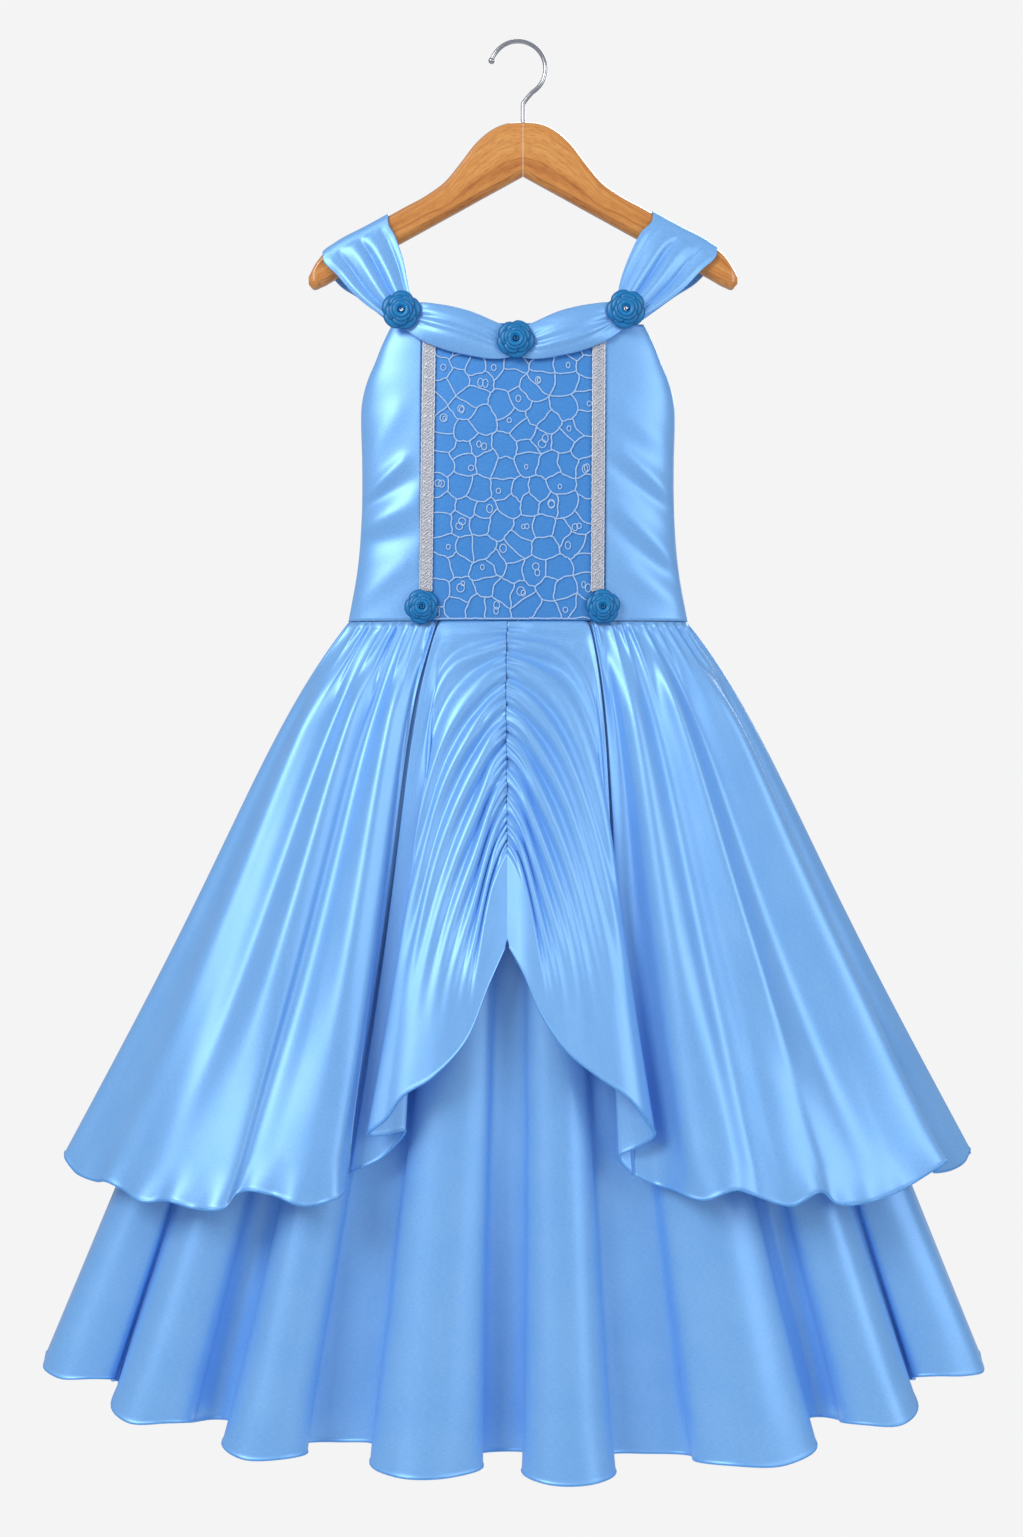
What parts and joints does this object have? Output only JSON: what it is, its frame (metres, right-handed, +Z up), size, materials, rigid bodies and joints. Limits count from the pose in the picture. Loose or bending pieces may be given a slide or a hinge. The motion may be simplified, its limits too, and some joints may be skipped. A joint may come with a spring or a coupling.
{
  "type": "princess costume dress on a hanger",
  "caption": "Child's blue satin costume gown with a lace-front bodice, ruched split overskirt and long underskirt, hung on a wooden hanger with a steel hook.",
  "frame": {"origin": "inside of the hook's crown, where it bears on the rail or peg that holds it", "axes": "+Z up, the gown's front faces -Y, +X to the right as its front is seen"},
  "size_m": [0.7486, 0.1688, 1.1296],
  "materials": {
    "pale_blue_satin": "light blue satin",
    "deep_blue_satin": "deep blue satin",
    "corded_lace": "silvery blue corded lace",
    "silver_braid": "silver braid",
    "rose_satin": "bright blue satin",
    "lacquered_wood": "clear lacquer",
    "bright_steel": "polished"
  },
  "bodies": {
    "root": {"bodice_back_left": "pale_blue_satin", "bodice_back_right": "pale_blue_satin", "bodice_centre_front": "deep_blue_satin", "bodice_side_front_left": "pale_blue_satin", "bodice_side_front_right": "pale_blue_satin", "braid_left": "silver_braid", "braid_right": "silver_braid", "hanger_arm_left": "lacquered_wood", "hanger_arm_right": "lacquered_wood", "hanger_hook": "bright_steel", "lace_overlay": "corded_lace", "neck_drape_back": "pale_blue_satin", "neck_drape_front": "pale_blue_satin", "overskirt_back": "pale_blue_satin", "overskirt_drape_left": "pale_blue_satin", "overskirt_drape_right": "pale_blue_satin", "overskirt_side_left": "pale_blue_satin", "overskirt_side_right": "pale_blue_satin", "rose_neck_centre": "rose_satin", "rose_strap_left": "rose_satin", "rose_strap_right": "rose_satin", "rose_waist_left": "rose_satin", "rose_waist_right": "rose_satin", "strap_left": "pale_blue_satin", "strap_right": "pale_blue_satin", "underskirt_back": "pale_blue_satin", "underskirt_front": "pale_blue_satin"}
  },
  "joints": []
}
